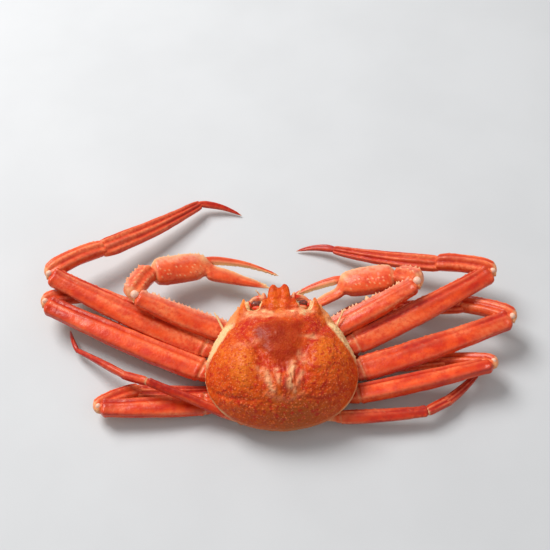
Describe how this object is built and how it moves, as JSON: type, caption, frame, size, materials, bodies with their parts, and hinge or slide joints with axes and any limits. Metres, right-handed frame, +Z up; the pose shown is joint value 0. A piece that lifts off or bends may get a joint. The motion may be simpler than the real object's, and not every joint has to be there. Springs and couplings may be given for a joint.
{
  "type": "cooked crab",
  "caption": "Whole boiled snow crab lying on its belly, domed orange-red shell, claws and long flattened legs folded forward beside it.",
  "frame": {"origin": "middle of the flat of the belly, on the surface that the crab lies on", "axes": "+Z up, +Y towards the crab's face, +X towards the crab's right side"},
  "size_m": [0.3567, 0.2114, 0.0531],
  "materials": {
    "shell_orange": "wet boiled shell, orange-red with yellow-orange patches",
    "limb_scarlet": "wet boiled shell, scarlet",
    "underside_cream": "satin, pale cream with orange",
    "eye_brown": "glossy"
  },
  "bodies": {
    "root": {"carapace": "shell_orange", "thorax": "underside_cream", "abdomen": "underside_cream", "eye_left": "eye_brown", "eye_right": "eye_brown", "mouth_cover_left": "underside_cream", "mouth_cover_right": "underside_cream", "claw_left_merus": "shell_orange", "claw_left_carpus": "shell_orange", "claw_left_palm": "limb_scarlet", "claw_left_finger": "limb_scarlet", "leg_1_left_merus": "shell_orange", "leg_1_left_carpus": "shell_orange", "leg_1_left_propodus": "limb_scarlet", "leg_1_left_dactyl": "limb_scarlet", "leg_2_left_merus": "shell_orange", "leg_2_left_carpus": "shell_orange", "leg_2_left_propodus": "limb_scarlet", "leg_2_left_dactyl": "limb_scarlet", "leg_3_left_merus": "shell_orange", "leg_3_left_carpus": "shell_orange", "leg_3_left_propodus": "limb_scarlet", "leg_3_left_dactyl": "limb_scarlet", "leg_4_left_merus": "shell_orange", "leg_4_left_carpus": "shell_orange", "leg_4_left_propodus": "limb_scarlet", "leg_4_left_dactyl": "limb_scarlet", "claw_right_merus": "shell_orange", "claw_right_carpus": "shell_orange", "claw_right_palm": "limb_scarlet", "claw_right_finger": "limb_scarlet", "leg_1_right_merus": "shell_orange", "leg_1_right_carpus": "shell_orange", "leg_1_right_propodus": "limb_scarlet", "leg_1_right_dactyl": "limb_scarlet", "leg_2_right_merus": "shell_orange", "leg_2_right_carpus": "shell_orange", "leg_2_right_propodus": "limb_scarlet", "leg_2_right_dactyl": "limb_scarlet", "leg_3_right_merus": "shell_orange", "leg_3_right_carpus": "shell_orange", "leg_3_right_propodus": "limb_scarlet", "leg_3_right_dactyl": "limb_scarlet", "leg_4_right_merus": "shell_orange", "leg_4_right_carpus": "shell_orange", "leg_4_right_propodus": "limb_scarlet", "leg_4_right_dactyl": "limb_scarlet"}
  },
  "joints": []
}
